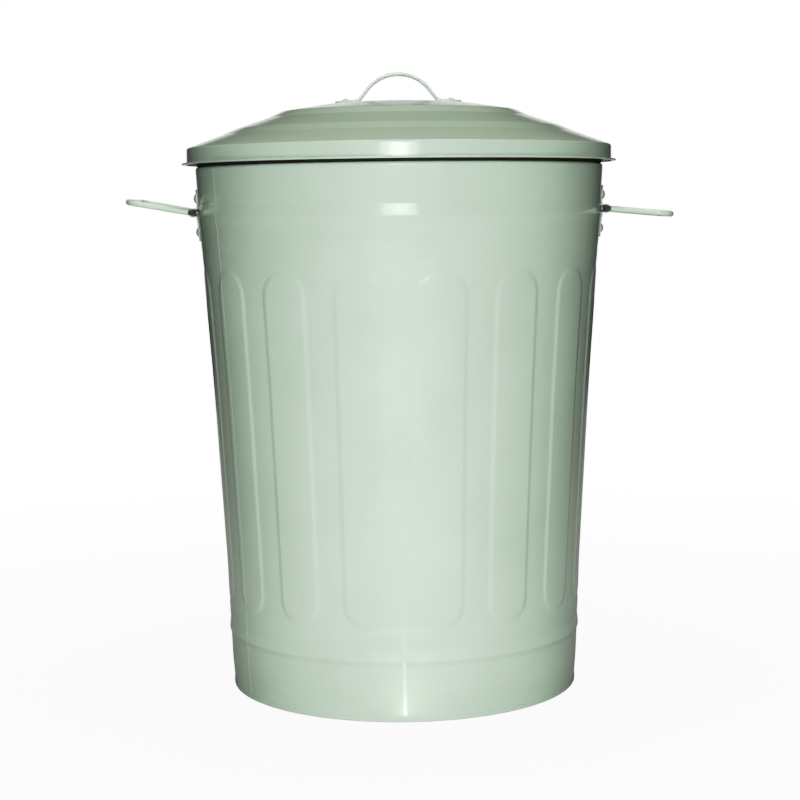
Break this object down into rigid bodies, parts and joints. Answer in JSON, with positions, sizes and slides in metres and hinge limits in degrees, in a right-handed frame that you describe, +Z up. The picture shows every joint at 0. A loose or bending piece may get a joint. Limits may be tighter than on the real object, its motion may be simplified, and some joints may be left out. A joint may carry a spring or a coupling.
{
  "type": "lidded metal dustbin",
  "caption": "Tapered sheet-steel bin with raised flutes, loose stepped lid with an arched strap handle, and a hinged wire bail handle on each side.",
  "frame": {"origin": "on the floor, at the centre of the bin's base", "axes": "+Z up; the front of the bin faces -Y; the bail handles stand out along -X and +X"},
  "size_m": [0.5963, 0.4792, 0.679],
  "materials": {
    "can_paint": "gloss powder coat, pale sage green",
    "lid_paint": "gloss powder coat, pale sage green",
    "handle_paint": "gloss powder coat on strap, brackets and bail wire",
    "rivet_paint": "gloss powder coat over steel rivets",
    "core_wire": "plain drawn steel wire, sealed inside the rolled rim"
  },
  "bodies": {
    "can": {"body_wall": "can_paint", "rim_wire": "core_wire", "base_pan": "can_paint", "left_bracket": "handle_paint", "right_bracket": "handle_paint", "left_bracket_rivet_upper": "rivet_paint", "left_bracket_rivet_lower": "rivet_paint", "right_bracket_rivet_upper": "rivet_paint", "right_bracket_rivet_lower": "rivet_paint"},
    "lid": {"lid_shell": "lid_paint", "lid_locating_ring": "lid_paint", "lid_handle": "handle_paint", "lid_handle_rivet_left": "rivet_paint", "lid_handle_rivet_right": "rivet_paint"},
    "left_bail": {"left_bail": "handle_paint"},
    "right_bail": {"right_bail": "handle_paint"}
  },
  "joints": [
    {"name": "lid_lift", "type": "slide", "parent": "can", "child": "lid", "axis": [0, 0, 1], "range_m": [0, 0.25]},
    {"name": "left_bail_swing", "type": "hinge", "parent": "can", "child": "left_bail", "pos_m": [-0.2268, 0, 0.528], "axis": [0, 1, 0], "range_deg": [-100.5, 64.5]},
    {"name": "right_bail_swing", "type": "hinge", "parent": "can", "child": "right_bail", "pos_m": [0.2268, 0, 0.528], "axis": [0, -1, 0], "range_deg": [-84.5, 80.5]}
  ]
}
